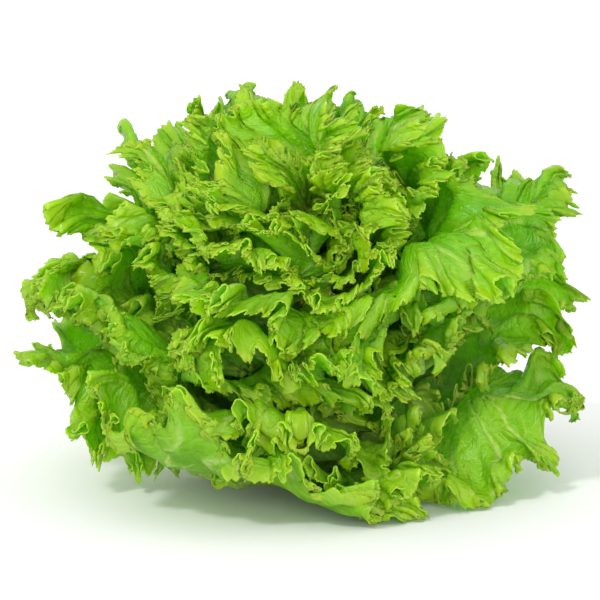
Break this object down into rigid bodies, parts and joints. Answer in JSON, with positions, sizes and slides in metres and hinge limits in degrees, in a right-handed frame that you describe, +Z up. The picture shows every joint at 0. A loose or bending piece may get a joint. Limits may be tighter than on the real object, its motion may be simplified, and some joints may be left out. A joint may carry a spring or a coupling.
{
  "type": "batavia lettuce",
  "caption": "Whole head of green batavia lettuce, cut at the stem: broad leaves with frilled edges in a loose dome that leans forward",
  "frame": {"origin": "centre of the stem's flat cut, on the surface that the head stands on", "axes": "+Z up, -Y towards the side that the head leans to and is seen from, +X to the right seen from there"},
  "size_m": [0.2898, 0.2958, 0.2035],
  "materials": {
    "stem": "satin",
    "outer_leaf": "satin",
    "middle_leaf": "satin",
    "heart_leaf": "satin"
  },
  "bodies": {
    "root": {"stem": "stem", "outer_leaf_01": "outer_leaf", "outer_leaf_02": "outer_leaf", "outer_leaf_03": "outer_leaf", "outer_leaf_04": "outer_leaf", "outer_leaf_05": "outer_leaf", "outer_leaf_06": "outer_leaf", "outer_leaf_07": "outer_leaf", "outer_leaf_08": "outer_leaf", "outer_leaf_09": "outer_leaf", "outer_leaf_10": "outer_leaf", "outer_leaf_11": "outer_leaf", "middle_leaf_01": "middle_leaf", "middle_leaf_02": "middle_leaf", "middle_leaf_03": "middle_leaf", "middle_leaf_04": "middle_leaf", "middle_leaf_05": "middle_leaf", "middle_leaf_06": "middle_leaf", "middle_leaf_07": "middle_leaf", "middle_leaf_08": "middle_leaf", "middle_leaf_09": "middle_leaf", "middle_leaf_10": "middle_leaf", "middle_leaf_11": "middle_leaf", "heart_leaf_01": "heart_leaf", "heart_leaf_02": "heart_leaf", "heart_leaf_03": "heart_leaf", "heart_leaf_04": "heart_leaf", "heart_leaf_05": "heart_leaf", "heart_leaf_06": "heart_leaf", "heart_leaf_07": "heart_leaf", "heart_leaf_08": "heart_leaf", "heart_leaf_09": "heart_leaf", "heart_leaf_10": "heart_leaf", "heart_leaf_11": "heart_leaf"}
  },
  "joints": []
}
